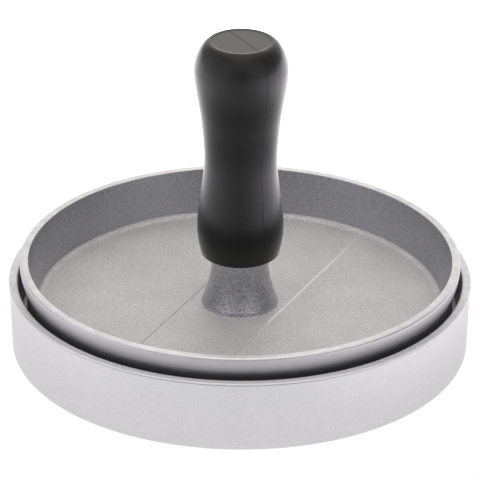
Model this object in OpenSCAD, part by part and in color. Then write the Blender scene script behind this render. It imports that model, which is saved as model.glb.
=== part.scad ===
// Burger patty press: a round mould, a dished press plate that drops into it, and a waisted
// handle screwed to the plate from below. Millimetres, +Z up, origin at the centre of the
// mould's foot, on the surface that it stands on.

/* [Mould] */
// Outer diameter over the rim lip
mould_d = 127; // [120:0.5:140]
// Height of the rim above the surface
mould_h = 20.8; // [19:0.1:24]
// Outer diameter just above the foot
mould_foot_d = 125.5; // [123:0.1:126]
// Width of the flat land on top of the rim
rim_land = 2.5; // [2:0.1:2.6]
// Height of the lip around the rim
rim_lip_h = 0.9; // [0.6:0.1:1.5]
// How far the lip stands out from the wall
rim_lip_out = 0.2; // [0.1:0.05:0.5]
// Thickness of the floor
mould_floor = 2.6; // [2:0.1:3.2]
// Depth of the hollow under the floor, inside the foot ring
foot_recess = 0.6; // [0.4:0.1:1]
// Diameter of the patty cavity, below the ledge
cavity_d = 113; // [111:0.5:114]

/* [Press plate] */
// Height of the pressing face above the surface, where the plate sits on the ledge
press_z = 10.5; // [9.5:0.1:11.5]
// Outer diameter of the plate at its rim
plate_d = 121; // [120:0.1:121.4]
// Height of the plate's rim above the surface
plate_rim_z = 26.7; // [24:0.1:30]
// Thickness of the plate's floor
plate_floor = 2.6; // [2:0.1:3.5]
// Inner diameter of the dish at its rim
dish_d = 116.2; // [114:0.1:117]
// Inner diameter of the dish where the wall meets its corner
dish_floor_d = 111.8; // [108:0.1:113]
// Width of the raised band across the dish
band_w = 25.6; // [22:0.1:40]
// Height of the raised band
band_h = 0.12; // [0.05:0.01:0.3]
// Angle at which the plate lies in the mould, about its axis
plate_turn = 64.4; // [0:0.1:180]

/* [Release ribs] */
// Distance between ribs on both pressing faces
rib_pitch = 9.6; // [8:0.1:12]
// Height of the ribs
rib_h = 0.9; // [0.5:0.1:1.2]
// Width of a rib at its root
rib_w = 1.8; // [1.4:0.1:2.4]
// Radius of the round area that the ribs cover
rib_area_r = 53; // [50:0.5:53]

/* [Boss] */
// Radius of the boss at its flared foot
boss_foot_r = 10.45; // [10:0.05:12]
// Radius of the boss under the handle
boss_top_r = 7.6; // [7.2:0.05:8]
// Height of the shoulder that the handle sits on
boss_top_z = 28.3; // [27:0.1:30]
// Radius of the keyed spigot on the boss
spigot_r = 5.2; // [5:0.1:5.6]
// Height of the keyed spigot
spigot_h = 5; // [4:0.1:5]
// Distance across the spigot's two flats
spigot_flats = 8.8; // [8:0.1:9.4]

/* [Handle] */
// Height of the handle's top above the surface
handle_top_z = 91.3; // [88:0.1:96]
// Radius at the lower edge
handle_edge_r = 10.5; // [10:0.05:11]
// Radius of the lower swelling
swell_r = 11.85; // [11.2:0.05:13]
// Height of the lower swelling
swell_z = 36.6; // [35:0.1:40]
// Radius of the waist
waist_r = 9.95; // [9:0.05:10.5]
// Height of the waist
waist_z = 56.7; // [52:0.1:60]
// Radius of the neck, between waist and head
neck_r = 10.9; // [10.5:0.05:11.5]
// Height of the neck
neck_z = 68.5; // [66:0.1:72]
// Largest radius, near the top
head_r = 12.9; // [12:0.05:14]
// Height of the largest radius
head_z = 83; // [80:0.1:84]
// Radius of the flat on top
crown_r = 8.5; // [7:0.1:9]
// Thickness of the soft grip over the rigid core
grip_t = 2.2; // [1.8:0.1:2.6]
// Angle of the handle's parting plane, about its axis
handle_turn = -60; // [-180:1:180]

/* [Fastening] */
// Thread diameter of the screw
screw_d = 5; // [4.5:0.5:5]
// Length of the screw under its head
screw_len = 25; // [22:1:26]
// Diameter of the screw's pan head
screw_head_d = 9.5; // [9:0.1:9.8]
// Height of the screw's head
screw_head_h = 3.7; // [3.2:0.1:3.8]
// Diameter of the counterbore under the plate
counterbore_d = 10.8; // [10.4:0.1:11.4]
// Thickness of the cover that closes the counterbore
cover_t = 1.8; // [1.4:0.1:1.8]
// Thickness of the flat washer
washer_t = 1; // [0.8:0.1:1]
// Thickness of the split lock washer
lock_washer_t = 1.2; // [1:0.1:1.2]
// Outer diameter of the brass insert
insert_d = 8; // [7.4:0.1:8.4]
// Length of the brass insert
insert_len = 10; // [9:0.5:12]

/* [Hidden] */
$fn = 96;

// Mould
mould_r = mould_d / 2;
foot_r = mould_foot_d / 2;
foot_ring_w = 6;
foot_round = 2.3;
rim_round = 0.35;
rim_inner_round = 0.6;
mould_mouth_r = mould_r - rim_land;
mould_draft = 0.8;
ledge_corner = 0.3;
cavity_r = cavity_d / 2;
cavity_draft = 0.3;
cavity_fillet = 1.5;
mould_floor_z = foot_recess + mould_floor;

// Press plate
plate_r = plate_d / 2;
plate_draft = 1.9;
plate_foot_round = 0.6;
plate_rim_round = 0.5;
dish_rim_round = 0.35;
dish_r = dish_d / 2;
dish_floor_r = dish_floor_d / 2;
dish_fillet = 1.6;
dish_z = press_z + plate_floor;
band_end_r = dish_floor_r - dish_fillet;
rib_clear_r = counterbore_d / 2 + 3.6;
rib_crest = 0.55;

// Boss
toe_fillet = 0.5;
toe_z = dish_z + toe_fillet + 0.3;
spigot_top_z = boss_top_z + spigot_h;
socket_gap = 0.1;
hole_gap = 0.25;

// Handle
edge_round = 1;
core_foot_r = boss_top_r + 0.4;
grip_foot_t = 1.4;
core_foot_z = boss_top_z + grip_foot_t;
core_top_z = handle_top_z - grip_t - 0.2;
curve_steps = 12;
neck_slope = 0.107;
shoulder_power = 1.74;

// Fastening, from the bottom up
screw_r = screw_d / 2;
cover_gap = 0.3;
head_z_low = press_z + cover_t + cover_gap;
head_z_high = head_z_low + screw_head_h;
lock_washer_z = head_z_high;
washer_z = lock_washer_z + lock_washer_t;
seat_z = washer_z + washer_t;
insert_z = spigot_top_z + 2 * socket_gap;
insert_r = insert_d / 2;
insert_groove = 0.5;
small = 0.01;

// Points of an arc about (x, y), from angle a to angle b
function arc(x, y, r, a, b, steps = 5) =
    [for (i = [0:steps]) let (t = a + (b - a) * i / steps) [x + r * cos(t), y + r * sin(t)]];

// Goes smoothly from a to b as t goes from 0 to 1, level at both ends
function ease(a, b, t) = a + (b - a) * t * t * (3 - 2 * t);

// Radius of the boss at height z: a parabola, level at the shoulder
function boss_r(z) =
    boss_top_r + (boss_foot_r - boss_top_r) * pow(1 - (z - toe_z) / (boss_top_z - toe_z), 2);

// Goes from value a with slope p to value b with slope q over a length d, as t goes from 0 to 1
function bend(a, p, b, q, d, t) =
    ease(a, b, t) + d * t * (1 - t) * (p * (1 - t) - q * t);

// Radius of the handle at height z: swelling, waist, neck, head and rounded shoulder
function handle_r(z) =
    z < swell_z ? swell_r - (swell_r - handle_edge_r) * pow((swell_z - z) / (swell_z - boss_top_z), 2)
    : z < waist_z ? ease(swell_r, waist_r, (z - swell_z) / (waist_z - swell_z))
    : z < neck_z ? bend(waist_r, 0, neck_r, neck_slope, neck_z - waist_z, (z - waist_z) / (neck_z - waist_z))
    : z < head_z ? bend(neck_r, neck_slope, head_r, 0, head_z - neck_z, (z - neck_z) / (head_z - neck_z))
    : crown_r + (head_r - crown_r)
        * pow(1 - pow((z - head_z) / (handle_top_z - head_z), shoulder_power), 1 / shoulder_power);

// Heights along the handle, closer together where the shoulder turns in
function handle_heights(low, high) = concat(
    [for (i = [0:curve_steps - 1]) low + (swell_z - low) * i / curve_steps],
    [for (i = [0:curve_steps - 1]) swell_z + (waist_z - swell_z) * i / curve_steps],
    [for (i = [0:curve_steps - 1]) waist_z + (head_z - waist_z) * i / curve_steps],
    [for (i = [0:curve_steps]) head_z + (high - head_z) * sin(90 * i / curve_steps)]);

// Outline of the core under the grip, from its foot up
function core_side() = concat(
    [[core_foot_r, core_foot_z]],
    [for (z = handle_heights(core_foot_z, core_top_z)) [handle_r(z) - grip_t, z]]);

// Outline of the grip's outside, from its foot up
function grip_side() = concat(
    arc(handle_r(boss_top_z + edge_round) - edge_round, boss_top_z + edge_round, edge_round, -90, 0),
    [for (z = handle_heights(boss_top_z + edge_round + 0.5, handle_top_z)) [handle_r(z), z]]);

// Straight release ribs across a round face, standing up from z = 0
module release_ribs(clear_r) {
    count = floor(rib_area_r / rib_pitch);
    difference() {
        intersection() {
            union() {
                for (i = [-count:count])
                    translate([i * rib_pitch, rib_area_r, 0])
                        rotate([90, 0, 0])
                            linear_extrude(2 * rib_area_r)
                                polygon([[-rib_w / 2, -small], [rib_w / 2, -small],
                                         [rib_w / 2 * rib_crest, rib_h], [-rib_w / 2 * rib_crest, rib_h]]);
            }
            translate([0, 0, -1])
                cylinder(h = 3, r = rib_area_r);
        }
        if (clear_r > 0)
            translate([0, 0, -1])
                cylinder(h = 3, r = clear_r);
    }
}

// Mould: a shallow dish with a foot ring below, a lip around its rim and a ledge inside
module mould_dish() {
    wall_top_r = mould_r - rim_lip_out;
    lip_z = mould_h - rim_lip_h;
    rotate_extrude()
        polygon(concat(
            [[0, foot_recess], [foot_r - foot_ring_w - foot_recess, foot_recess], [foot_r - foot_ring_w, 0]],
            arc(foot_r - foot_round, foot_round, foot_round, -90, 0),
            [[wall_top_r, lip_z - rim_lip_out / 2], [mould_r, lip_z + rim_lip_out / 2]],
            arc(mould_r - rim_round, mould_h - rim_round, rim_round, 0, 90),
            arc(mould_mouth_r + rim_inner_round, mould_h - rim_inner_round, rim_inner_round, 90, 180),
            arc(mould_mouth_r - mould_draft - ledge_corner, press_z + ledge_corner, ledge_corner, 0, -90),
            arc(cavity_r + ledge_corner, press_z - ledge_corner, ledge_corner, 90, 180),
            arc(cavity_r - cavity_draft - cavity_fillet, mould_floor_z + cavity_fillet, cavity_fillet, 0, -90),
            [[0, mould_floor_z]]));
}

module base_mould() {
    color([0.74, 0.74, 0.76]) {
        union() {
            mould_dish();
            rotate(plate_turn + 90)
                translate([0, 0, mould_floor_z])
                    release_ribs(0);
        }
    }
}

// Dish of the press plate, with its flared boss
module plate_dish() {
    rotate_extrude()
        polygon(concat(
            [[0, press_z]],
            arc(plate_r - plate_draft - plate_foot_round, press_z + plate_foot_round, plate_foot_round, -90, 0),
            arc(plate_r - plate_rim_round, plate_rim_z - plate_rim_round, plate_rim_round, 0, 90),
            arc(dish_r + dish_rim_round, plate_rim_z - dish_rim_round, dish_rim_round, 90, 180),
            arc(dish_floor_r - dish_fillet, dish_z + dish_fillet, dish_fillet, 0, -90),
            arc(boss_foot_r + toe_fillet, dish_z + toe_fillet, toe_fillet, -90, -180),
            [[boss_foot_r, toe_z]],
            [for (i = [1:curve_steps]) let (z = toe_z + (boss_top_z - toe_z) * i / curve_steps) [boss_r(z), z]],
            [[0, boss_top_z]]));
}

// Spigot with two flats, which stops the handle from turning
module keyed_spigot(gap) {
    intersection() {
        translate([0, 0, boss_top_z - small])
            cylinder(h = spigot_h + gap + small, r = spigot_r + gap);
        translate([-spigot_r - 1, -spigot_flats / 2 - gap, boss_top_z - 1])
            cube([2 * spigot_r + 2, spigot_flats + 2 * gap, spigot_h + 3]);
    }
}

// Raised band across the dish, which the casting die leaves
module dish_band() {
    rotate(plate_turn)
        intersection() {
            translate([0, 0, dish_z - small])
                cylinder(h = band_h + small, r = band_end_r);
            translate([-band_end_r - 1, -band_w / 2, dish_z - 1])
                cube([2 * band_end_r + 2, band_w, 3]);
        }
}

module press_plate() {
    color([0.66, 0.66, 0.68]) {
        difference() {
            union() {
                plate_dish();
                dish_band();
                rotate(handle_turn)
                    keyed_spigot(0);
                translate([0, 0, press_z])
                    rotate([180, 0, plate_turn])
                        release_ribs(rib_clear_r);
            }
            translate([0, 0, press_z - 1])
                cylinder(h = seat_z - press_z + 1, d = counterbore_d);
            cylinder(h = spigot_top_z + 1, r = screw_r + hole_gap);
        }
    }
}

// Rigid core inside the grip, moulded round the brass insert
module handle_core() {
    color([0.16, 0.16, 0.17]) {
        difference() {
            union() {
                rotate_extrude()
                    polygon(concat([[0, core_foot_z]], core_side(), [[0, core_top_z]]));
                translate([0, 0, boss_top_z])
                    cylinder(h = grip_foot_t + small, r = core_foot_r);
            }
            rotate(handle_turn)
                keyed_spigot(socket_gap);
            translate([0, 0, boss_top_z - 1])
                cylinder(h = insert_z - boss_top_z + 1 + small, r = screw_r + hole_gap);
            insert_body();
            translate([0, 0, insert_z])
                cylinder(h = insert_len + 2, r = screw_r);
        }
    }
}

// Soft grip moulded over the core, closed at the top
module handle_grip() {
    inner = core_side();
    color([0.12, 0.115, 0.11])
        rotate_extrude()
            polygon(concat(
                [[core_foot_r, boss_top_z]],
                grip_side(),
                [[0, handle_top_z], [0, core_top_z]],
                [for (i = [len(inner) - 1:-1:0]) inner[i]]));
}

// Outside of the insert: two bands with a retaining groove between them
module insert_body() {
    rotate_extrude()
        polygon([[0, insert_z],
                 [insert_r, insert_z],
                 [insert_r, insert_z + insert_len * 0.4],
                 [insert_r - insert_groove, insert_z + insert_len * 0.45],
                 [insert_r - insert_groove, insert_z + insert_len * 0.55],
                 [insert_r, insert_z + insert_len * 0.6],
                 [insert_r, insert_z + insert_len],
                 [0, insert_z + insert_len]]);
}

// Brass insert, threaded for the screw; the thread is a plain bore
module threaded_insert() {
    color([0.78, 0.62, 0.30])
        difference() {
            insert_body();
            translate([0, 0, insert_z - 1])
                cylinder(h = insert_len + 2, r = screw_r);
        }
}

// Pan head screw, head down, with a cross recess; the thread is a plain shank
module handle_screw() {
    head_r = screw_head_d / 2;
    dome = 1.6;
    recess_l = 5;
    recess_w = 1.1;
    recess_h = 2;
    tip = 0.6;
    shank_top = head_z_high + screw_len;
    color([0.70, 0.70, 0.71])
        difference() {
            rotate_extrude()
                polygon(concat(
                    [[0, head_z_low]],
                    arc(head_r - dome, head_z_low + dome, dome, -90, 0),
                    [[head_r, head_z_high],
                     [screw_r, head_z_high],
                     [screw_r, shank_top - tip],
                     [screw_r - tip, shank_top],
                     [0, shank_top]]));
            for (turn = [45, 135])
                rotate(turn)
                    translate([-recess_l / 2, -recess_w / 2, head_z_low - 1])
                        cube([recess_l, recess_w, recess_h + 1]);
        }
}

// Split lock washer under the screw's head, drawn as tightened
module lock_washer() {
    outer_r = 4.6;
    split_w = 0.7;
    split_lean = 20;
    color([0.62, 0.62, 0.63])
        difference() {
            translate([0, 0, lock_washer_z])
                cylinder(h = lock_washer_t, r = outer_r);
            translate([0, 0, lock_washer_z - 1])
                cylinder(h = lock_washer_t + 2, r = screw_r + 0.05);
            translate([0, outer_r / 2 + 1, lock_washer_z + lock_washer_t / 2])
                rotate([0, split_lean, 0])
                    cube([split_w, outer_r + 2, lock_washer_t * 3], center = true);
        }
}

// Flat washer between the lock washer and the plate
module flat_washer() {
    outer_r = 5;
    edge = 0.2;
    inner_r = screw_r + 0.15;
    color([0.72, 0.72, 0.73])
        rotate_extrude()
            polygon([[inner_r, washer_z], [outer_r - edge, washer_z], [outer_r, washer_z + edge],
                     [outer_r, seat_z], [inner_r, seat_z]]);
}

// Cover pressed into the counterbore, level with the pressing face
module screw_cover() {
    cover_r = counterbore_d / 2;
    edge = 0.25;
    color([0.20, 0.20, 0.21])
        rotate_extrude()
            polygon([[0, press_z], [cover_r - edge, press_z], [cover_r, press_z + edge],
                     [cover_r, press_z + cover_t], [0, press_z + cover_t]]);
}

base_mould();
press_plate();
handle_core();
handle_grip();
threaded_insert();
handle_screw();
lock_washer();
flat_washer();
screw_cover();
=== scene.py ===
"""Looks of the patty press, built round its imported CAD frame. Lengths are in metres."""
import math

import bmesh
import bpy
from mathutils import Matrix, Vector


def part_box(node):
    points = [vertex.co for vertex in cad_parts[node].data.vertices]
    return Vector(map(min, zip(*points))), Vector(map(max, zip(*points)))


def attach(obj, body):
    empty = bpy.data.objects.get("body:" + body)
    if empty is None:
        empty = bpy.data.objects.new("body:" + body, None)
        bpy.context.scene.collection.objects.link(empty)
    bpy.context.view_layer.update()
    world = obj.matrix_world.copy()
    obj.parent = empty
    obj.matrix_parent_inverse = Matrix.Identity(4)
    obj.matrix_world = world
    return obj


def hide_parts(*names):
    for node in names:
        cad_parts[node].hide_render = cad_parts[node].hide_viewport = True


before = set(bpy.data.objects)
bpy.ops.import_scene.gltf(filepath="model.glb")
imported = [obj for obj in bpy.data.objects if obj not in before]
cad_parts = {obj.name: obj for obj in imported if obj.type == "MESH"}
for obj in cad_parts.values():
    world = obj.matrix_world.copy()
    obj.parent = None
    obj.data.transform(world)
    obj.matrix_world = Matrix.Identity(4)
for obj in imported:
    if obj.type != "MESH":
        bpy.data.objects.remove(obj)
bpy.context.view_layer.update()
MM = 0.001
# A length too small to tell from none
TINY = 1e-7

# ---------------------------------------------------------------- sizes, from the frame
MOULD_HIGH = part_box("base_mould")[1]
CORE_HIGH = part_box("handle_core")[1]
GRIP_LOW, GRIP_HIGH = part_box("handle_grip")
COVER_LOW, COVER_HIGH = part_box("screw_cover")
PRESS_Z = COVER_LOW.z
SEAT_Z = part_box("flat_washer")[1].z
BOSS_TOP_Z = GRIP_LOW.z
SPIGOT_TOP_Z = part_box("press_plate")[1].z

# ---------------------------------------------------------------- sizes that the frame's boxes don't give
# Mould: hollow under its floor, and the floor's thickness
FOOT_RECESS = 0.6 * MM
MOULD_FLOOR_Z = FOOT_RECESS + 2.6 * MM
# Plate: its floor, flat part of the dish, rim, and the toe of the boss
DISH_Z = PRESS_Z + 2.6 * MM
DISH_FLAT_R = 54.3 * MM
PLATE_RIM_Z = 26.7 * MM
BOSS_FOOT_R = 10.45 * MM
# Release ribs on both pressing faces, and the area left clear round the screw's cover
RIB_RISE = 0.9 * MM
RIB_CLEAR_R = 9.0 * MM
# Half the width of the band that the die leaves across the dish
BAND_HALF = 12.8 * MM
# How the plate lies in the mould, and how the handle's parting plane lies, about the axis
PLATE_TURN = math.radians(64.4)
HANDLE_TURN = math.radians(-60)

# Handle: radius and height of its edge, swelling, waist, neck, head and crown
EDGE_R = 10.5 * MM
SWELL_R, SWELL_Z = 11.85 * MM, 36.6 * MM
WAIST_R, WAIST_Z = 9.95 * MM, 56.7 * MM
NECK_R, NECK_Z = 10.9 * MM, 68.5 * MM
NECK_SLOPE = 0.107
HEAD_R, HEAD_Z = 12.9 * MM, 83.0 * MM
CROWN_R = 8.5 * MM
# 2 would make the shoulder a quarter of an ellipse, and less is flatter
SHOULDER_POWER = 1.74

# ---------------------------------------------------------------- outlines


def arc(x, y, radius, start, end, steps=6):
    """Points of an arc about (x, y), between two angles in degrees."""
    points = []
    for i in range(steps + 1):
        angle = math.radians(start + (end - start) * i / steps)
        points.append((x + radius * math.cos(angle), y + radius * math.sin(angle)))
    return points


def line(start, end, steps):
    """Points after start, up to and with end, evenly spaced."""
    return [(start[0] + (end[0] - start[0]) * i / steps, start[1] + (end[1] - start[1]) * i / steps)
            for i in range(1, steps + 1)]


def bend(a, slope_a, b, slope_b, length, t):
    """Goes from a to b as t goes from 0 to 1 over the length, with the slopes given at the ends."""
    smooth = a + (b - a) * t * t * (3 - 2 * t)
    return smooth + length * t * (1 - t) * (slope_a * (1 - t) - slope_b * t)


def mould_outline():
    """Section of the mould, from the middle of its underside round to the middle of its floor."""
    rim_r = MOULD_HIGH.x
    rim_z = MOULD_HIGH.z
    foot_r = 62.75 * MM
    foot_round = 2.3 * MM
    foot_ring_w = 6 * MM
    ring_r = foot_r - foot_ring_w
    bead_out = 0.2 * MM
    bead_z = rim_z - 0.5 * MM
    crease_depth = 0.5 * MM
    crease_below = 0.2 * MM
    crease_above = 0.12 * MM
    rim_round = 0.35 * MM
    rim_land = 2.5 * MM
    mouth_r = rim_r - rim_land
    mouth_round = 0.6 * MM
    mouth_draft = 0.8 * MM
    ledge_r = mouth_r - mouth_draft
    corner = 0.3 * MM
    cavity_r = 56.5 * MM
    cavity_draft = 0.3 * MM
    fillet = 1.5 * MM
    return (
        [(0, FOOT_RECESS), (ring_r - FOOT_RECESS, FOOT_RECESS), (ring_r, 0)]
        + arc(foot_r - foot_round, foot_round, foot_round, -90, 0, steps=12)
        + [(rim_r - bead_out, bead_z - crease_below)]
        + [(rim_r - crease_depth, bead_z), (rim_r, bead_z + crease_above)]
        + arc(rim_r - rim_round, rim_z - rim_round, rim_round, 0, 90)
        + arc(mouth_r + mouth_round, rim_z - mouth_round, mouth_round, 90, 180, steps=8)
        + arc(ledge_r - corner, PRESS_Z + corner, corner, 0, -90, steps=4)
        + arc(cavity_r + corner, PRESS_Z - corner, corner, 90, 180, steps=4)
        + arc(cavity_r - cavity_draft - fillet, MOULD_FLOOR_Z + fillet, fillet, 0, -90)
        + [(0, MOULD_FLOOR_Z)])


def boss_outline():
    """The flared boss, from the fillet round its toe up to the shoulder under the handle."""
    top_r = 7.6 * MM
    fillet = 0.5 * MM
    toe = 0.3 * MM
    toe_z = DISH_Z + fillet + toe
    steps = 28
    points = arc(BOSS_FOOT_R + fillet, DISH_Z + fillet, fillet, -90, -180)
    for i in range(steps + 1):
        t = i / steps
        points.append((top_r + (BOSS_FOOT_R - top_r) * (1 - t) ** 2, toe_z + (BOSS_TOP_Z - toe_z) * t))
    return points


def plate_outline():
    """Section of the press plate, from the counterbore under it round to its bore. The spigot inside
    the handle is plain here, while in CAD it has two flats."""
    rim_r = 60.5 * MM
    rim_round = 0.8 * MM
    draft = 1.9 * MM
    foot_r = rim_r - draft
    foot_round = 0.6 * MM
    dish_r = 58.1 * MM
    dish_round = 0.35 * MM
    dish_fillet = 1.6 * MM
    bore_r = 2.75 * MM
    counterbore_r = COVER_HIGH.x
    spigot_r = 5.2 * MM

    # The outer wall stands up from the foot, then curves out to the rim
    wall_low = 16.5 * MM
    wall_length = PLATE_RIM_Z - rim_round - wall_low
    wall_steps = 12
    wall = []
    for i in range(wall_steps):
        r = bend(foot_r, 0, rim_r, 0, wall_length, i / wall_steps)
        wall.append((r, wall_low + wall_length * i / wall_steps))
    return (
        [(bore_r, SEAT_Z), (counterbore_r, SEAT_Z), (counterbore_r, PRESS_Z)]
        + arc(foot_r - foot_round, PRESS_Z + foot_round, foot_round, -90, 0)
        + wall
        + arc(rim_r - rim_round, PLATE_RIM_Z - rim_round, rim_round, 0, 90, steps=8)
        + arc(dish_r + dish_round, PLATE_RIM_Z - dish_round, dish_round, 90, 180)
        + arc(DISH_FLAT_R, DISH_Z + dish_fillet, dish_fillet, 0, -90, steps=10)
        + boss_outline()
        + [(spigot_r, BOSS_TOP_Z), (spigot_r, SPIGOT_TOP_Z), (bore_r, SPIGOT_TOP_Z)])


def handle_radius(z):
    """Radius of the handle at height z: swelling, waist, neck, head and rounded shoulder."""
    if z < SWELL_Z:
        return SWELL_R - (SWELL_R - EDGE_R) * ((SWELL_Z - z) / (SWELL_Z - BOSS_TOP_Z)) ** 2
    stretches = (
        (SWELL_Z, SWELL_R, 0, WAIST_Z, WAIST_R, 0),
        (WAIST_Z, WAIST_R, 0, NECK_Z, NECK_R, NECK_SLOPE),
        (NECK_Z, NECK_R, NECK_SLOPE, HEAD_Z, HEAD_R, 0))
    for low_z, low_r, low_slope, high_z, high_r, high_slope in stretches:
        if z < high_z:
            length = high_z - low_z
            return bend(low_r, low_slope, high_r, high_slope, length, (z - low_z) / length)
    t = min(1.0, (z - HEAD_Z) / (GRIP_HIGH.z - HEAD_Z))
    return CROWN_R + (HEAD_R - CROWN_R) * (1 - t ** SHOULDER_POWER) ** (1 / SHOULDER_POWER)


def grip_side():
    """The soft grip's outside, from its rounded lower edge up to the crown."""
    edge = 1.0 * MM
    low = BOSS_TOP_Z + edge
    side_steps = 90
    shoulder_steps = 28
    points = arc(handle_radius(low) - edge, low, edge, -90, 0, steps=8)
    for i in range(1, side_steps + 1):
        z = low + (HEAD_Z - low) * i / side_steps
        points.append((handle_radius(z), z))
    for i in range(1, shoulder_steps + 1):
        z = HEAD_Z + (GRIP_HIGH.z - HEAD_Z) * math.sin(math.pi / 2 * i / shoulder_steps)
        points.append((handle_radius(z), z))
    return points


def grip_top():
    """The bead round the soft grip's top, and the flat that lies a little lower inside it."""
    bead_r = 0.45 * MM
    bead_drop = 0.14 * MM
    bead_end = CROWN_R - 2 * bead_r
    bead_steps = 8
    points = []
    for i in range(1, bead_steps + 1):
        t = i / bead_steps
        points.append((CROWN_R + (bead_end - CROWN_R) * t, GRIP_HIGH.z - bead_drop * t * t * (3 - 2 * t)))
    return points + line(points[-1], (0, GRIP_HIGH.z - bead_drop), steps=8)


def grip_outline():
    """Section of the soft grip: up the outside to the top's middle, then down against the core."""
    wall = 2.2 * MM
    foot_wall = 1.4 * MM
    foot_r = 8.0 * MM
    core_foot_z = BOSS_TOP_Z + foot_wall
    inner_steps = 40
    points = [(foot_r, BOSS_TOP_Z)] + grip_side() + grip_top() + [(0, CORE_HIGH.z)]
    for i in range(inner_steps + 1):
        z = CORE_HIGH.z + (core_foot_z - CORE_HIGH.z) * i / inner_steps
        points.append((handle_radius(z) - wall, z))
    return points + [(foot_r, core_foot_z)]


# ---------------------------------------------------------------- mesh code


def lathe(outline, segments):
    """A bmesh of the closed outline turned about Z. Points on the axis become single poles."""
    bm = bmesh.new()
    rings = []
    for r, z in outline:
        if r < TINY:
            rings.append([bm.verts.new((0, 0, z))])
            continue
        ring = []
        for k in range(segments):
            angle = 2 * math.pi * k / segments
            ring.append(bm.verts.new((r * math.cos(angle), r * math.sin(angle), z)))
        rings.append(ring)
    for a, b in zip(rings, rings[1:] + rings[:1]):
        for k in range(segments):
            n = (k + 1) % segments
            if len(a) > 1 and len(b) > 1:
                bm.faces.new((a[k], a[n], b[n], b[k]))
            elif len(a) > 1:
                bm.faces.new((a[k], a[n], b[0]))
            elif len(b) > 1:
                bm.faces.new((a[0], b[n], b[k]))
    bmesh.ops.recalc_face_normals(bm, faces=bm.faces)
    return bm


def score(bm, angle, offset, half_width, depth, keep):
    """Cuts a fine groove in the faces that keep(face) picks, where they meet the upright plane that
    stands at that angle and that offset from the axis."""
    across = Vector((-math.sin(angle), math.cos(angle), 0))
    for d in (offset - half_width, offset, offset + half_width):
        faces = [f for f in bm.faces if keep(f)]
        edges = {e for f in faces for e in f.edges}
        verts = {v for f in faces for v in f.verts}
        bmesh.ops.bisect_plane(bm, geom=faces + list(edges) + list(verts), dist=TINY,
                               plane_co=across * d, plane_no=across)
    bm.normal_update()
    middle = [v for v in bm.verts
              if abs(v.co.dot(across) - offset) < 10 * TINY and any(keep(f) for f in v.link_faces)]
    moves = [(v, v.normal * depth) for v in middle]
    for v, move in moves:
        v.co -= move


def to_object(bm, name):
    """The bmesh as a smooth-shaded object in the scene."""
    mesh = bpy.data.meshes.new(name)
    bm.to_mesh(mesh)
    bm.free()
    for polygon in mesh.polygons:
        polygon.use_smooth = True
    obj = bpy.data.objects.new(name, mesh)
    bpy.context.scene.collection.objects.link(obj)
    return obj


def crease_normals(obj, angle=32):
    """Marks edges sharper than the angle, and weights the normals of the rest by face area."""
    bm = bmesh.new()
    bm.from_mesh(obj.data)
    for e in bm.edges:
        e.smooth = len(e.link_faces) == 2 and e.calc_face_angle() < math.radians(angle)
    bm.to_mesh(obj.data)
    bm.free()
    weighted = obj.modifiers.new("weighted_normals", "WEIGHTED_NORMAL")
    weighted.keep_sharp = True
    weighted.weight = 100


def add_rib(bm, z, rise, angle, offset, start, end):
    """Adds one rib with sloping sides and ends to a face at height z. It runs at that angle, at that
    offset from the axis, from start to end."""
    root = 0.9 * MM
    crest = 0.5 * MM
    sink = math.copysign(0.4 * MM, -rise)
    end_slope = 0.4 * MM
    across = Vector((-math.sin(angle), math.cos(angle), 0))
    along = Vector((math.cos(angle), math.sin(angle), 0))
    corners = []
    for place, slope in ((start, end_slope), (end, -end_slope)):
        section = ((-root, sink, 0), (root, sink, 0), (crest, rise, slope), (-crest, rise, slope))
        for side, height, inset in section:
            p = along * (place + inset) + across * (offset + side)
            corners.append(bm.verts.new((p.x, p.y, z + height)))
    for k in range(4):
        n = (k + 1) % 4
        bm.faces.new((corners[k], corners[n], corners[4 + n], corners[4 + k]))
    bm.faces.new(corners[:4])
    bm.faces.new(corners[4:])


def rib_block(z, rise, angle, clear_r):
    """Straight release ribs over a round area, as one closed mesh. rise is up or, if negative, down.
    The ribs leave a round area of radius clear_r free in the middle. Known fault: on both castings
    the CAD ribs run at right angles to these."""
    pitch = 9.6 * MM
    area_r = 53 * MM
    bm = bmesh.new()
    count = int(area_r / pitch)
    for i in range(-count, count + 1):
        offset = i * pitch
        half = math.sqrt(area_r ** 2 - offset ** 2)
        gap = math.sqrt(max(0.0, clear_r ** 2 - offset ** 2))
        spans = ((-half, half),) if gap == 0 else ((-half, -gap), (gap, half))
        for start, end in spans:
            add_rib(bm, z, rise, angle, offset, start, end)
    bmesh.ops.recalc_face_normals(bm, faces=bm.faces)
    return bm


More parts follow.
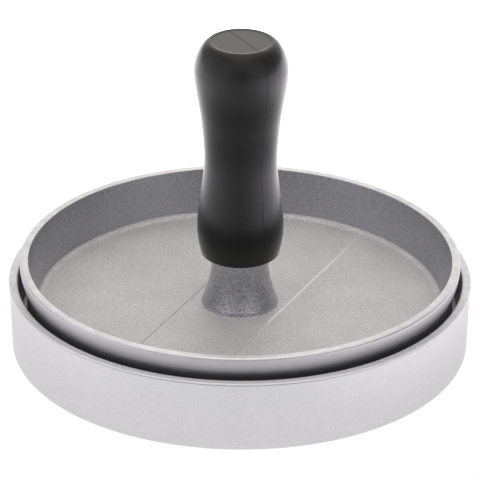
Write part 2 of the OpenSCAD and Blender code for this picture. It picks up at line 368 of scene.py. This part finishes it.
def band_block():
    """The slightly raised band that the die leaves across the dish, as one closed mesh. Its top is
    smaller than its foot by these slopes: round its ends, along its right edge and along its left.
    Known fault: it also leaves a thin disc across the counterbore, which is open in CAD."""
    rise = 0.12 * MM
    sink = 0.4 * MM
    end_slope = 0.12 * MM
    right_slope = 0.60 * MM
    left_slope = 0.05 * MM
    bm = bmesh.new()
    rings = []
    for z, share in ((DISH_Z - sink, 0), (DISH_Z, 0), (DISH_Z + rise, 1)):
        reach = DISH_FLAT_R - end_slope * share
        right = math.degrees(math.asin((BAND_HALF - right_slope * share) / reach))
        left = math.degrees(math.asin((BAND_HALF - left_slope * share) / reach))
        ends = (arc(0, 0, reach, -right, left, steps=12)
                + arc(0, 0, reach, 180 - left, 180 + right, steps=12))
        rings.append([bm.verts.new((x, y, z)) for x, y in ends])
    count = len(rings[0])
    for low, high in zip(rings, rings[1:]):
        for k in range(count):
            n = (k + 1) % count
            bm.faces.new((low[k], low[n], high[n], high[k]))
    bm.faces.new(rings[0])
    bm.faces.new(rings[-1])
    bmesh.ops.recalc_face_normals(bm, faces=bm.faces)
    bmesh.ops.rotate(bm, verts=bm.verts, matrix=Matrix.Rotation(PLATE_TURN, 3, "Z"))
    return bm


def unite(obj, bm):
    """Joins a closed bmesh into the object as one solid."""
    tool = to_object(bm, obj.name + "_tool")
    boolean = obj.modifiers.new("join", "BOOLEAN")
    boolean.operation = "UNION"
    boolean.solver = "EXACT"
    boolean.object = tool
    evaluated = obj.evaluated_get(bpy.context.evaluated_depsgraph_get())
    mesh = bpy.data.meshes.new_from_object(evaluated)
    obj.modifiers.clear()
    obj.data = mesh
    mesh.name = obj.name
    bpy.data.objects.remove(tool)
    for polygon in mesh.polygons:
        polygon.use_smooth = True


# ---------------------------------------------------------------- node trees


class Nodes:
    """A small helper to write a node tree."""

    def __init__(self, owner):
        owner.use_nodes = True
        self.tree = owner.node_tree
        self.tree.nodes.clear()

    def add(self, kind, **settings):
        node = self.tree.nodes.new(kind)
        for key, value in settings.items():
            setattr(node, key, value)
        return node

    def link(self, a, b):
        self.tree.links.new(a, b)

    def feed(self, sockets, values):
        """Gives each socket its value, which is a plain one or another node's output."""
        for socket, value in zip(sockets, values):
            if isinstance(value, bpy.types.NodeSocket):
                self.link(value, socket)
            else:
                socket.default_value = value

    def math(self, operation, *values):
        node = self.add("ShaderNodeMath", operation=operation)
        self.feed(node.inputs, values)
        return node.outputs["Value"]

    def vector(self, operation, *values):
        node = self.add("ShaderNodeVectorMath", operation=operation)
        self.feed(node.inputs, values)
        return node

    def scaled(self, colour, factor):
        node = self.vector("SCALE", colour)
        self.link(factor, node.inputs["Scale"])
        return node.outputs["Vector"]


class Surface(Nodes):
    """A small helper to write the node material of a solid surface."""

    def __init__(self, name):
        self.material = bpy.data.materials.new(name)
        super().__init__(self.material)
        self.shader = self.add("ShaderNodeBsdfPrincipled")
        output = self.add("ShaderNodeOutputMaterial")
        self.link(self.shader.outputs["BSDF"], output.inputs["Surface"])

    def set(self, **values):
        """Sets numbers that are the same all over the surface."""
        for key, value in values.items():
            self.shader.inputs[key.replace("_", " ")].default_value = value

    def drive(self, name, value):
        """Lets a node's output set one of the shader's inputs."""
        self.link(value, self.shader.inputs[name])

    def place(self):
        """Object coordinates, in millimetres."""
        coordinates = self.add("ShaderNodeTexCoord")
        mapping = self.add("ShaderNodeMapping")
        mapping.inputs["Scale"].default_value = (1000, 1000, 1000)
        self.link(coordinates.outputs["Object"], mapping.inputs["Vector"])
        return mapping.outputs["Vector"]

    def split(self, at):
        node = self.add("ShaderNodeSeparateXYZ")
        self.link(at, node.inputs["Vector"])
        return node.outputs

    def noise(self, at, scale, detail=3.0, rough=0.5):
        node = self.add("ShaderNodeTexNoise")
        node.inputs["Scale"].default_value = scale
        node.inputs["Detail"].default_value = detail
        node.inputs["Roughness"].default_value = rough
        self.link(at, node.inputs["Vector"])
        return node.outputs["Fac"]

    def cells(self, at, scale):
        node = self.add("ShaderNodeTexVoronoi")
        node.inputs["Scale"].default_value = scale
        self.link(at, node.inputs["Vector"])
        return node.outputs

    def remap(self, value, low, high, to_low, to_high):
        """Goes from to_low to to_high as the value goes from low to high."""
        node = self.add("ShaderNodeMapRange")
        node.inputs["From Min"].default_value = low
        node.inputs["From Max"].default_value = high
        node.inputs["To Min"].default_value = to_low
        node.inputs["To Max"].default_value = to_high
        self.link(value, node.inputs["Value"])
        return node.outputs["Result"]

    def share(self, a, part, b):
        """That part of a, and the rest of b."""
        return self.math("ADD", self.math("MULTIPLY", a, part), self.math("MULTIPLY", b, 1 - part))

    def colour(self, value, low, high, dark, light):
        """Colours the surface from dark to light as the value goes from low to high."""
        node = self.add("ShaderNodeMix", data_type="RGBA")
        self.link(self.remap(value, low, high, 0.0, 1.0), node.inputs["Factor"])
        # 6 and 7 are the node's two colours, and 2 is the colour that it gives
        self.feed(node.inputs[6:8], (dark + (1,), light + (1,)))
        self.drive("Base Color", node.outputs[2])

    def bump(self, height, distance, strength, under=None):
        node = self.add("ShaderNodeBump")
        node.inputs["Distance"].default_value = distance
        node.inputs["Strength"].default_value = strength
        self.link(height, node.inputs["Height"])
        if under is not None:
            self.link(under, node.inputs["Normal"])
        return node.outputs["Normal"]


# ---------------------------------------------------------------- materials


def cast_aluminium(name, dark, light, roughness, coarse, metallic=1.0):
    """Bead-blasted cast aluminium: fine pits that sparkle, faint patches, slightly uneven gloss.
    coarse scales the pits' depth. metallic below 1 gives the duller, oxidised floor."""
    gloss_spread = 0.08
    s = Surface(name)
    at = s.place()
    grain = s.noise(at, 1.9, 2.0, 0.6)
    pits = s.cells(at, 2.6)["Distance"]
    patches = s.noise(at, 0.07)
    s.colour(s.share(grain, 0.8, patches), 0.3, 0.7, dark, light)
    flecks = s.add("ShaderNodeSeparateColor")
    s.link(s.cells(at, 3.4)["Color"], flecks.inputs["Color"])
    s.drive("Roughness", s.remap(flecks.outputs["Red"], 0.0, 1.0, roughness - gloss_spread,
                                 roughness + gloss_spread))
    s.drive("Normal", s.bump(s.share(grain, 0.6, pits), 0.14 * MM * coarse, 0.8))
    s.set(Metallic=metallic)
    return s.material


def machined_rim(name, dark, light):
    """Turned rim land: fine rings that spread the gloss across them, smoother than the casting."""
    s = Surface(name)
    at = s.place()
    xyz = s.split(at)
    radius = s.math("SQRT", s.math("ADD", s.math("MULTIPLY", xyz["X"], xyz["X"]),
                                   s.math("MULTIPLY", xyz["Y"], xyz["Y"])))
    across = s.add("ShaderNodeCombineXYZ")
    s.link(radius, across.inputs["X"])
    rings = s.noise(across.outputs["Vector"], 4.5, 3.0, 0.7)
    wear = s.noise(at, 0.35, 4.0)
    s.colour(s.share(rings, 0.5, wear), 0.35, 0.65, dark, light)
    s.drive("Roughness", s.remap(wear, 0.3, 0.7, 0.5, 0.4))
    fine = s.bump(s.noise(at, 3.0), 0.05 * MM, 0.5)
    s.drive("Normal", s.bump(rings, 0.03 * MM, 0.5, fine))
    tangent = s.add("ShaderNodeTangent", direction_type="RADIAL", axis="Z")
    s.drive("Tangent", tangent.outputs["Tangent"])
    s.set(Metallic=0.9, Anisotropic=0.8, Anisotropic_Rotation=0.25)
    return s.material


def soft_touch(name):
    """Black soft-touch elastomer: fine pebbled skin, faint handling marks. Its two clear layers give
    the handle its grazing shine."""
    s = Surface(name)
    at = s.place()
    smears = s.noise(at, 0.16, 4.0, 0.6)
    s.colour(smears, 0.35, 0.7, (0.002, 0.0019, 0.0018), (0.004, 0.0037, 0.0035))
    s.drive("Roughness", s.remap(smears, 0.3, 0.7, 0.28, 0.36))
    s.drive("Normal", s.bump(s.noise(at, 4.0, 2.0, 0.6), 0.04 * MM, 0.4))
    s.set(IOR=1.26, Coat_Weight=1.0, Coat_IOR=1.26, Coat_Roughness=0.28)
    return s.material


def moulded_plastic(name, dark, roughness):
    """Rigid moulded plastic with a faint mottled skin."""
    gloss_spread = 0.05
    s = Surface(name)
    at = s.place()
    mottle = s.noise(at, 0.8)
    s.colour(mottle, 0.3, 0.7, dark, tuple(1.35 * channel for channel in dark))
    s.drive("Roughness", s.remap(mottle, 0.3, 0.7, roughness - gloss_spread, roughness + gloss_spread))
    s.drive("Normal", s.bump(s.noise(at, 4.0), 0.02 * MM, 0.5))
    return s.material


def turned_metal(name, dark, light, roughness):
    """Turned or rolled metal: fine rings about the axis and a little tarnish."""
    ring_pitch = 0.18
    s = Surface(name)
    at = s.place()
    rings = s.math("SINE", s.math("MULTIPLY", s.split(at)["Z"], 2 * math.pi / ring_pitch))
    tarnish = s.noise(at, 0.7, 4.0, 0.6)
    s.colour(tarnish, 0.3, 0.7, dark, light)
    s.drive("Roughness", s.remap(tarnish, 0.3, 0.7, roughness + 0.08, roughness - 0.05))
    s.drive("Normal", s.bump(rings, 0.006 * MM, 0.5))
    s.set(Metallic=1.0)
    return s.material


# ---------------------------------------------------------------- pieces

# Places of a casting's finishes in the list of its materials. The mould has the first two.
# The last of these finishes is a painted highlight: the band's right edge, made lighter and glossier so that
# it shows as a light line.
CASTING, RIM, BLASTED, BOSS, OUTSIDE, PAINTED_HIGHLIGHT = range(6)
CASTING_SEGMENTS = 360
GRIP_SEGMENTS = 256
# A face belongs to a rim's land if it is this close under the rim's top, and looks up this much
LAND_DEPTH = 0.25 * MM
LOOKS_UP = 0.4


def assign(obj, materials, choose):
    """Gives the object its materials. choose(centre, normal) says which of them a face takes."""
    obj.data.materials.clear()
    for material in materials:
        obj.data.materials.append(material)
    for polygon in obj.data.polygons:
        polygon.material_index = choose(polygon.center, polygon.normal)


def mould_finish(centre, normal):
    return RIM if centre.z > MOULD_HIGH.z - LAND_DEPTH and normal.z > LOOKS_UP else CASTING


def build_mould(materials):
    mould = to_object(lathe(mould_outline(), CASTING_SEGMENTS), "mould_casting")
    unite(mould, rib_block(MOULD_FLOOR_Z, RIB_RISE, PLATE_TURN + math.pi / 2, 0.0))
    crease_normals(mould)
    assign(mould, materials, mould_finish)
    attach(mould, "mould")
    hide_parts("base_mould")


def score_dish(bm):
    """Cuts the fine groove along the left edge of the band."""
    past_band = 0.2 * MM
    half_width = 0.17 * MM
    depth = 0.2 * MM
    close = 0.05 * MM

    def on_dish(face):
        centre = face.calc_center_median()
        return abs(centre.z - DISH_Z) < close and BOSS_FOOT_R < centre.xy.length < DISH_FLAT_R

    score(bm, PLATE_TURN, BAND_HALF + past_band, half_width, depth, on_dish)


def plate_finish(centre, normal):
    """The finish of a face of the plate. The blasted floor runs a little way up the dish's fillet, and the
    gently sloping faces on it, the band's right edge, take a lighter, glossier finish as a painted
    highlight."""
    wall_from_r = 58 * MM
    outwards = 0.5
    highlight_from_r, highlight_to_r = 12 * MM, 53 * MM
    highlight_slope_low, highlight_slope_high = 0.9, 0.99
    highlight_height = 0.5 * MM
    blasted_to_r = 57 * MM
    blasted_height = 0.8 * MM
    boss_to_r = BOSS_FOOT_R + 0.2 * MM
    reach = centre.xy.length
    height = abs(centre.z - DISH_Z)
    if reach > DISH_FLAT_R and normal.z > LOOKS_UP and centre.z > PLATE_RIM_Z - LAND_DEPTH:
        return RIM
    if reach > wall_from_r and normal.xy.dot(centre.xy) > outwards * reach:
        return OUTSIDE
    # Painted highlight: the band's gently sloping right edge takes the lighter rim finish.
    if (height < highlight_height and highlight_slope_low < normal.z < highlight_slope_high
            and highlight_from_r < reach < highlight_to_r):
        return PAINTED_HIGHLIGHT
    if height < blasted_height and normal.z > LOOKS_UP and reach < blasted_to_r:
        return BLASTED
    return BOSS if reach < boss_to_r and centre.z > DISH_Z else CASTING


def build_plate(materials):
    bm = lathe(plate_outline(), CASTING_SEGMENTS)
    score_dish(bm)
    plate = to_object(bm, "press_casting")
    unite(plate, band_block())
    unite(plate, rib_block(PRESS_Z, -RIB_RISE, PLATE_TURN, RIB_CLEAR_R))
    crease_normals(plate)
    assign(plate, materials, plate_finish)
    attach(plate, "press")
    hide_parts("press_plate")


def score_grip(bm):
    """Cuts the parting groove down the outside of the grip and over its top."""
    offset = 0.65 * MM
    half_width = 0.14 * MM
    depth = 0.09 * MM
    side_skin = 0.6 * MM
    top_skin = 0.5 * MM

    def outside(face):
        centre = face.calc_center_median()
        return centre.xy.length > handle_radius(centre.z) - side_skin or centre.z > GRIP_HIGH.z - top_skin

    score(bm, HANDLE_TURN, offset, half_width, depth, outside)


def build_grip(material):
    bm = lathe(grip_outline(), GRIP_SEGMENTS)
    score_grip(bm)
    grip = to_object(bm, "soft_grip")
    crease_normals(grip, angle=40)
    grip.data.materials.append(material)
    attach(grip, "press")
    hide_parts("handle_grip")


def paint(node, material):
    """Gives a carried-over CAD node its material."""
    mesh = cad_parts[node].data
    mesh.materials.clear()
    mesh.materials.append(material)


# ---------------------------------------------------------------- stage, light and camera

# Soft lights round the press: azimuth, which goes from behind (0) round by the right (90), elevation,
# sharpness and colour. A higher sharpness makes a smaller light.
LIGHTS = (
    (0, 90, 5, (1.35, 1.30, 1.26)),
    (180, 48, 6, (0.70, 0.67, 0.64)),
    (0, 50, 6, (0.66, 0.64, 0.60)),
    (60, 50, 6, (0.24, 0.22, 0.20)),
    (300, 50, 6, (0.18, 0.17, 0.17)),
    (0, 12, 9, (0.90, 0.87, 0.85)),
    (45, 12, 9, (0.48, 0.48, 0.54)),
    (315, 12, 9, (0.24, 0.23, 0.24)),
    (90, 12, 9, (0.22, 0.22, 0.22)),
    (135, 12, 9, (1.05, 1.03, 1.08)),
    (180, 12, 9, (0.12, 0.12, 0.12)),
    (225, 12, 9, (1.00, 0.98, 1.03)),
    (270, 12, 9, (1.20, 1.17, 1.22)),
)
# Glow of the floor round the press, and further out on each side by azimuth
FLOOR_NEAR = (1.05, 1.01, 1.03)
FLOOR_SIDES = (
    (0, (2.2, 2.2, 2.2)),
    (90, (3.0, 2.9, 3.1)),
    (180, (1.0, 1.0, 1.0)),
    (270, (1.95, 1.90, 2.00)),
)
# The distances from the axis where the near colour ends, and where the side colours are full
FLOOR_NEAR_END = 0.10
FLOOR_SIDES_FULL = 0.15


def towards(azimuth, elevation):
    """The direction of a point of the sky, as a vector of length 1."""
    flat = math.cos(math.radians(elevation))
    return (flat * math.sin(math.radians(azimuth)), flat * math.cos(math.radians(azimuth)),
            math.sin(math.radians(elevation)))


def floor_glow(nodes):
    """The colour of the floor's glow. Side colours meet in shares that always add up to 1."""
    place = nodes.add("ShaderNodeTexCoord").outputs["Object"]
    away = nodes.add("ShaderNodeMapRange", interpolation_type="SMOOTHSTEP")
    away.inputs["From Min"].default_value = FLOOR_NEAR_END
    away.inputs["From Max"].default_value = FLOOR_SIDES_FULL
    nodes.link(nodes.vector("LENGTH", place).outputs["Value"], away.inputs["Value"])
    direction = nodes.vector("NORMALIZE", place).outputs["Vector"]
    total = (0, 0, 0)
    for azimuth, colour in FLOOR_SIDES:
        facing = nodes.vector("DOT_PRODUCT", direction, towards(azimuth, 0)).outputs["Value"]
        share = nodes.math("POWER", nodes.math("MAXIMUM", facing, 0), 2)
        total = nodes.vector("ADD", total, nodes.scaled(colour, share)).outputs["Vector"]
    blend = nodes.add("ShaderNodeMix", data_type="VECTOR")
    nodes.link(away.outputs["Result"], blend.inputs["Factor"])
    # 4 and 5 are the node's two vectors, and 1 is the vector that it gives
    nodes.feed(blend.inputs[4:6], (FLOOR_NEAR, total))
    return blend.outputs[1]


def floor_white(name):
    """The glowing floor's material. Seen from below it lets the view through."""
    material = bpy.data.materials.new(name)
    nodes = Nodes(material)
    glow = nodes.add("ShaderNodeEmission")
    nodes.link(floor_glow(nodes), glow.inputs["Color"])
    clear = nodes.add("ShaderNodeBsdfTransparent")
    geometry = nodes.add("ShaderNodeNewGeometry")
    mix = nodes.add("ShaderNodeMixShader")
    nodes.feed(mix.inputs, (geometry.outputs["Backfacing"], glow.outputs["Emission"], clear.outputs["BSDF"]))
    output = nodes.add("ShaderNodeOutputMaterial")
    nodes.link(mix.outputs["Shader"], output.inputs["Surface"])
    return material


def build_floor():
    half = 6.0
    under_foot = 0.02 * MM
    corners = [(-half, -half, 0), (half, -half, 0), (half, half, 0), (-half, half, 0)]
    mesh = bpy.data.meshes.new("floor")
    mesh.from_pydata(corners, [], [(0, 1, 2, 3)])
    mesh.materials.append(floor_white("floor_white"))
    floor = bpy.data.objects.new("floor", mesh)
    bpy.context.scene.collection.objects.link(floor)
    floor.location.z = -under_foot


def build_world():
    """A studio of broad soft lights. Each is a round glow on the sky, brightest along its axis."""
    world = bpy.data.worlds.new("studio")
    bpy.context.scene.world = world
    nodes = Nodes(world)
    sky = nodes.add("ShaderNodeTexCoord").outputs["Generated"]
    total = (0, 0, 0)
    for azimuth, elevation, sharpness, colour in LIGHTS:
        along = nodes.vector("DOT_PRODUCT", sky, towards(azimuth, elevation)).outputs["Value"]
        glow = nodes.math("EXPONENT", nodes.math("MULTIPLY_ADD", along, sharpness, -sharpness))
        total = nodes.vector("ADD", total, nodes.scaled(colour, glow)).outputs["Vector"]
    background = nodes.add("ShaderNodeBackground")
    nodes.link(total, background.inputs["Color"])
    output = nodes.add("ShaderNodeOutputWorld")
    nodes.link(background.outputs["Background"], output.inputs["Surface"])


def build_camera():
    """The photograph's view: a long lens a little above the press, looking down at it."""
    distance = 1.1
    height = 0.56866
    pitch = 0.4539
    roll = 0.007
    data = bpy.data.cameras.new("camera")
    data.sensor_width = 36
    data.lens = 335.0
    data.shift_x = -0.0004
    data.clip_start = 0.05
    camera = bpy.data.objects.new("camera", data)
    bpy.context.scene.collection.objects.link(camera)
    camera.location = (0, -distance, height)
    camera.rotation_mode = "ZYX"
    camera.rotation_euler = (math.pi / 2 - pitch, 0, roll)
    bpy.context.scene.camera = camera


# ---------------------------------------------------------------- the whole scene


def build_castings():
    mould_metal = cast_aluminium("mould_metal", (0.58, 0.59, 0.595), (0.66, 0.67, 0.675), 0.50, 0.6)
    plate_metal = cast_aluminium("plate_metal", (0.36, 0.36, 0.385), (0.43, 0.43, 0.455), 0.30, 0.30)
    boss_metal = cast_aluminium("boss_metal", (0.38, 0.38, 0.415), (0.60, 0.60, 0.635), 0.26, 0.8)
    blasted = cast_aluminium("plate_blasted", (0.40, 0.405, 0.405), (0.68, 0.685, 0.685), 0.55, 2.6, 0.55)
    outside = cast_aluminium("plate_outside", (0.41, 0.41, 0.435), (0.46, 0.46, 0.485), 0.42, 0.25)
    rim = machined_rim("machined_rim", (0.60, 0.605, 0.615), (0.72, 0.725, 0.735))
    # Painted highlight: the band's right edge takes this lighter, glossier finish so that it shows as a
    # light line.
    highlight_metal = machined_rim("painted_highlight_edge", (0.58, 0.58, 0.58), (0.66, 0.66, 0.66))
    build_mould((mould_metal, rim))
    build_plate((plate_metal, rim, blasted, boss_metal, outside, highlight_metal))


def paint_hidden_pieces():
    """The handle's core and its fastening keep their CAD meshes."""
    steel = turned_metal("stainless_steel", (0.52, 0.52, 0.53), (0.66, 0.66, 0.67), 0.3)
    for node in ("handle_screw", "flat_washer", "lock_washer"):
        paint(node, steel)
    paint("threaded_insert", turned_metal("brass", (0.62, 0.44, 0.16), (0.80, 0.60, 0.28), 0.3))
    paint("handle_core", moulded_plastic("core_plastic", (0.03, 0.03, 0.033), 0.5))
    paint("screw_cover", moulded_plastic("cover_plastic", (0.055, 0.055, 0.058), 0.45))


def main():
    build_camera()
    build_world()
    build_floor()
    bpy.context.scene.view_settings.view_transform = "Standard"
    bpy.context.scene.view_settings.look = "None"
    build_castings()
    build_grip(soft_touch("soft_touch"))
    paint_hidden_pieces()


main()
